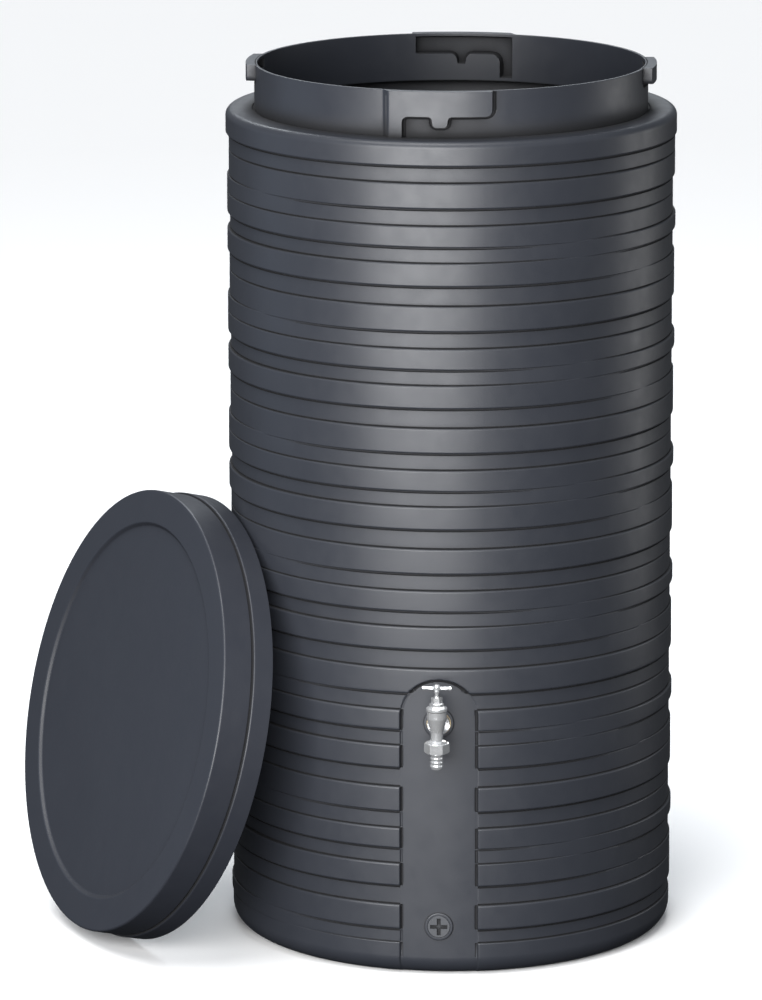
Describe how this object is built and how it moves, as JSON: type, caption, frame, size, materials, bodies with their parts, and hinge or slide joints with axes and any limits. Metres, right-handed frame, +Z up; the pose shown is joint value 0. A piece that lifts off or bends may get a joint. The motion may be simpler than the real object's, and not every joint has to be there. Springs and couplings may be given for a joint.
{
  "type": "rain barrel",
  "caption": "Round open-necked plastic rain barrel with banded wall, arched front panel, chrome screw tap with hose tail, drain plug and a pan-shaped lid leaning on its side.",
  "frame": {"origin": "centre of the barrel's flat base, on the ground", "axes": "+Z up along the barrel's axis, -Y out through the tap, +X to the right when facing the tap"},
  "size_m": [0.8595, 0.6484, 1.128],
  "materials": {
    "barrel_plastic": "satin moulded anthracite plastic",
    "lid_plastic": "satin moulded anthracite plastic",
    "plug_plastic": "finely textured moulded anthracite plastic",
    "chrome": "polished chrome plate",
    "brass": "machined brass",
    "rubber": "black rubber",
    "packing": "greased packing cord"
  },
  "bodies": {
    "barrel": {"barrel_shell": "barrel_plastic", "tap_insert": "brass", "drain_insert": "brass", "tap_gasket": "rubber", "tap_body": "chrome", "bonnet": "chrome", "bonnet_washer": "rubber", "gland_packing": "packing", "gland_nut": "chrome"},
    "valve": {"jumper_valve": "brass", "valve_washer": "rubber", "washer_screw": "brass"},
    "t_handle": {"spindle": "chrome", "handle_hub": "chrome", "handle_bar": "chrome", "handle_screw": "chrome"},
    "tail": {"hose_tail": "chrome", "hose_washer": "rubber"},
    "union": {"union_nut": "chrome"},
    "drain_seal": {"drain_o_ring": "rubber"},
    "plug": {"drain_plug": "plug_plastic"},
    "lid": {"lid_shell": "lid_plastic"}
  },
  "joints": [
    {"name": "valve_rise", "type": "slide", "parent": "barrel", "child": "valve", "axis": [0, 0, 1], "range_m": [0, 0.00375]},
    {"name": "handle_turn", "type": "hinge", "parent": "valve", "child": "t_handle", "pos_m": [0, -0.3276, 0.3877], "axis": [0, 0, 1], "range_deg": [0, 541]},
    {"name": "tail_drop", "type": "slide", "parent": "barrel", "child": "tail", "axis": [0, 0, -1], "range_m": [0, 0.00907]},
    {"name": "union_turn", "type": "hinge", "parent": "tail", "child": "union", "pos_m": [0, -0.3276, 0.311], "axis": [0, 0, -1], "range_deg": [0, 1802]},
    {"name": "seal_pull", "type": "slide", "parent": "barrel", "child": "drain_seal", "axis": [0, -1, 0], "range_m": [0, 0.01088]},
    {"name": "plug_turn", "type": "hinge", "parent": "drain_seal", "child": "plug", "pos_m": [0, -0.2826, 0.065], "axis": [0, -1, 0], "range_deg": [0, 2162]},
    {"name": "lid_tip", "type": "hinge", "parent": "barrel", "child": "lid", "pos_m": [-0.46446, -0.13485, 0.01748], "axis": [0.4914, -0.871, 0], "range_deg": [0, 103.9]}
  ],
  "couplings": [
    {"joint": "handle_turn", "follows": "valve_rise", "rad_per_m": 2513.3},
    {"joint": "union_turn", "follows": "tail_drop", "rad_per_m": 3463.7},
    {"joint": "plug_turn", "follows": "seal_pull", "rad_per_m": 3463.7}
  ]
}
